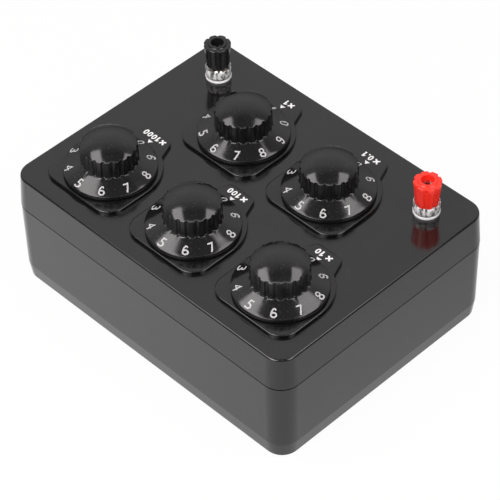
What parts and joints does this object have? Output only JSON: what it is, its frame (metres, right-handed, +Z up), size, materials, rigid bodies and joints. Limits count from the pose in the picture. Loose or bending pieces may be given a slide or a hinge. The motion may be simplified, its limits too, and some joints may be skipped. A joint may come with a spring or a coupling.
{
  "type": "decade resistance box",
  "caption": "Bench resistance box: black moulded case, fluted dial knobs with figured skirts on index plates, and red and black binding posts on the panel.",
  "frame": {"origin": "centre of the case's bounding box, on the table", "axes": "+Z up, +X to the right of a user who reads the dials, +Y away from that user, towards the back row of dials"},
  "size_m": [0.1518, 0.1164, 0.0722],
  "materials": {
    "case_plastic": "satin black moulding",
    "plate_plastic": "black, semi-gloss",
    "knob_plastic": "black, glossy",
    "red_plastic": "red, glossy",
    "black_plastic": "black, glossy",
    "clear_plastic": "clear",
    "plated_brass": "nickel plated",
    "steel": "plain steel",
    "contact_brass": "plain brass",
    "spring_bronze": "phosphor bronze",
    "switch_moulding": "dark phenolic moulding",
    "laminate": "phenolic laminate",
    "winding": "enamelled winding on a bobbin",
    "wire_jacket": "insulated wire"
  },
  "bodies": {
    "case": {"base": "case_plastic", "lid": "case_plastic", "case_screws": "steel", "thousands_index_plate": "plate_plastic", "hundreds_index_plate": "plate_plastic", "tens_index_plate": "plate_plastic", "units_index_plate": "plate_plastic", "tenths_index_plate": "plate_plastic", "thousands_switch_body": "switch_moulding", "hundreds_switch_body": "switch_moulding", "tens_switch_body": "switch_moulding", "units_switch_body": "switch_moulding", "tenths_switch_body": "switch_moulding", "thousands_contact_board": "laminate", "hundreds_contact_board": "laminate", "tens_contact_board": "laminate", "units_contact_board": "laminate", "tenths_contact_board": "laminate", "thousands_contacts": "contact_brass", "hundreds_contacts": "contact_brass", "tens_contacts": "contact_brass", "units_contacts": "contact_brass", "tenths_contacts": "contact_brass", "thousands_coils": "winding", "hundreds_coils": "winding", "tens_coils": "winding", "units_coils": "winding", "tenths_coils": "winding", "collector_rings": "contact_brass", "neck_washers": "plated_brass", "neck_nuts": "plated_brass", "red_collar": "clear_plastic", "black_collar": "clear_plastic", "red_stud": "plated_brass", "black_stud": "plated_brass", "post_insulators": "black_plastic", "solder_tags": "contact_brass", "post_nuts": "plated_brass", "hookup_wires": "wire_jacket"},
    "thousands_dial": {"thousands_knob": "knob_plastic", "thousands_shaft": "steel", "thousands_wiper": "spring_bronze"},
    "hundreds_dial": {"hundreds_knob": "knob_plastic", "hundreds_shaft": "steel", "hundreds_wiper": "spring_bronze"},
    "tens_dial": {"tens_knob": "knob_plastic", "tens_shaft": "steel", "tens_wiper": "spring_bronze"},
    "units_dial": {"units_knob": "knob_plastic", "units_shaft": "steel", "units_wiper": "spring_bronze"},
    "tenths_dial": {"tenths_knob": "knob_plastic", "tenths_shaft": "steel", "tenths_wiper": "spring_bronze"},
    "red_insert": {"red_insert": "contact_brass"},
    "red_cap": {"red_cap": "red_plastic"},
    "black_insert": {"black_insert": "contact_brass"},
    "black_cap": {"black_cap": "black_plastic"}
  },
  "joints": [
    {"name": "thousands_turn", "type": "hinge", "parent": "case", "child": "thousands_dial", "pos_m": [0.0473, 0.02935, 0.054], "axis": [0, 0, -1], "continuous": true},
    {"name": "hundreds_turn", "type": "hinge", "parent": "case", "child": "hundreds_dial", "pos_m": [0, 0.02935, 0.054], "axis": [0, 0, -1], "continuous": true},
    {"name": "tens_turn", "type": "hinge", "parent": "case", "child": "tens_dial", "pos_m": [-0.0473, 0.02935, 0.054], "axis": [0, 0, -1], "continuous": true},
    {"name": "units_turn", "type": "hinge", "parent": "case", "child": "units_dial", "pos_m": [0.02365, -0.02155, 0.054], "axis": [0, 0, -1], "continuous": true},
    {"name": "tenths_turn", "type": "hinge", "parent": "case", "child": "tenths_dial", "pos_m": [-0.02365, -0.02155, 0.054], "axis": [0, 0, -1], "continuous": true},
    {"name": "red_cap_lift", "type": "slide", "parent": "case", "child": "red_insert", "axis": [0, 0, 1], "range_m": [0, 0.004]},
    {"name": "red_cap_turn", "type": "hinge", "parent": "red_insert", "child": "red_cap", "pos_m": [-0.0578, -0.04065, 0.054], "axis": [0, 0, 1], "range_deg": [0, 1800]},
    {"name": "black_cap_lift", "type": "slide", "parent": "case", "child": "black_insert", "axis": [0, 0, 1], "range_m": [-0.0011, 0.0029]},
    {"name": "black_cap_turn", "type": "hinge", "parent": "black_insert", "child": "black_cap", "pos_m": [0.0578, -0.04065, 0.054], "axis": [0, 0, 1], "range_deg": [-495, 1305]}
  ],
  "couplings": [
    {"joint": "red_cap_turn", "follows": "red_cap_lift", "rad_per_m": 7854},
    {"joint": "black_cap_turn", "follows": "black_cap_lift", "rad_per_m": 7854}
  ]
}
